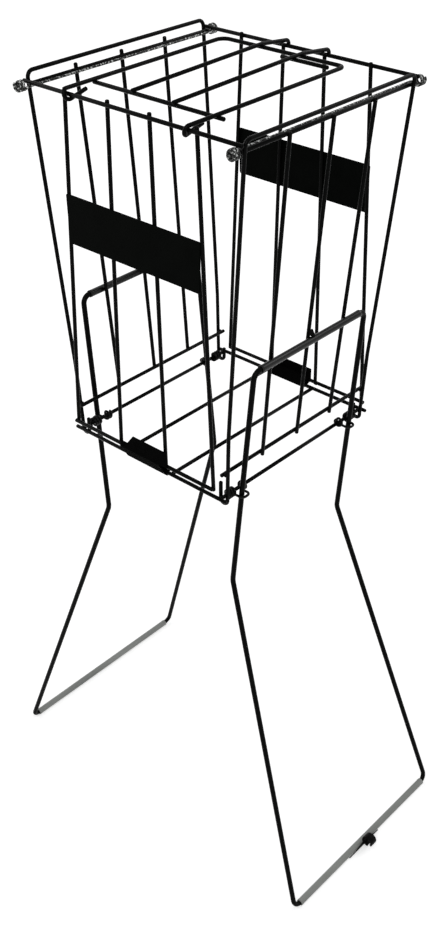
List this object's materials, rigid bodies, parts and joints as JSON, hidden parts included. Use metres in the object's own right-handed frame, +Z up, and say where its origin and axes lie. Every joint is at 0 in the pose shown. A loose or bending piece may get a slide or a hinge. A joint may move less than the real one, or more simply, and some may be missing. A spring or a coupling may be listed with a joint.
{
  "type": "tennis ball hopper",
  "caption": "Tapered wire basket with a barred floor that balls are pushed through, a hooked wire lid and two splayed leg frames that slide in wound clips.",
  "frame": {"origin": "on the ground, midway along the width and the length of the whole", "axes": "+Z up; the bare plates face -Y and +Y; the leg frames stand on the -X and +X sides"},
  "size_m": [0.4448, 0.2556, 0.8306],
  "materials": {
    "coated_wire": "gloss black coating on steel wire",
    "clip_wire": "gloss black spring wire",
    "plate": "satin black",
    "sleeve": "gloss black sleeve",
    "grip": "satin grey tube"
  },
  "bodies": {
    "basket": {"floor_wire_1": "coated_wire", "floor_wire_2": "coated_wire", "floor_wire_3": "coated_wire", "floor_wire_4": "coated_wire", "floor_cross_front": "coated_wire", "floor_cross_back": "coated_wire", "side_panel_left": "coated_wire", "side_panel_right": "coated_wire", "front_panel": "coated_wire", "back_panel": "coated_wire", "tie_rod_left": "coated_wire", "tie_rod_right": "coated_wire", "front_plate": "plate", "back_plate": "plate", "floor_wrap_front": "plate", "floor_wrap_back": "plate", "stop_wedge_right": "coated_wire", "stop_wedge_left": "coated_wire"},
    "lid": {"lid": "coated_wire"},
    "clips_right": {"guide_clip_right_near": "clip_wire", "guide_clip_right_far": "clip_wire"},
    "clips_left": {"guide_clip_left_near": "clip_wire", "guide_clip_left_far": "clip_wire"},
    "leg_right": {"leg_rod_right": "coated_wire", "sleeve_right": "sleeve", "grip_right": "grip", "handle_clip": "plate"},
    "leg_left": {"leg_rod_left": "coated_wire", "sleeve_left": "sleeve", "grip_left": "grip"}
  },
  "joints": [
    {"name": "lid_hinge", "type": "hinge", "parent": "basket", "child": "lid", "pos_m": [-0.00605, -0.11623, 0.82045], "axis": [1, 0, 0], "range_deg": [0, 180]},
    {"name": "leg_fold_right", "type": "hinge", "parent": "basket", "child": "clips_right", "pos_m": [0.08695, 0, 0.47525], "axis": [0, 1, 0], "range_deg": [0, 18]},
    {"name": "leg_slide_right", "type": "slide", "parent": "clips_right", "child": "leg_right", "axis": [0.0856, 0, 0.9963], "range_m": [-0.115, 0]},
    {"name": "leg_fold_left", "type": "hinge", "parent": "basket", "child": "clips_left", "pos_m": [-0.09905, 0, 0.47525], "axis": [0, -1, 0], "range_deg": [0, 18]},
    {"name": "leg_slide_left", "type": "slide", "parent": "clips_left", "child": "leg_left", "axis": [-0.0856, 0, 0.9963], "range_m": [-0.115, 0]}
  ]
}
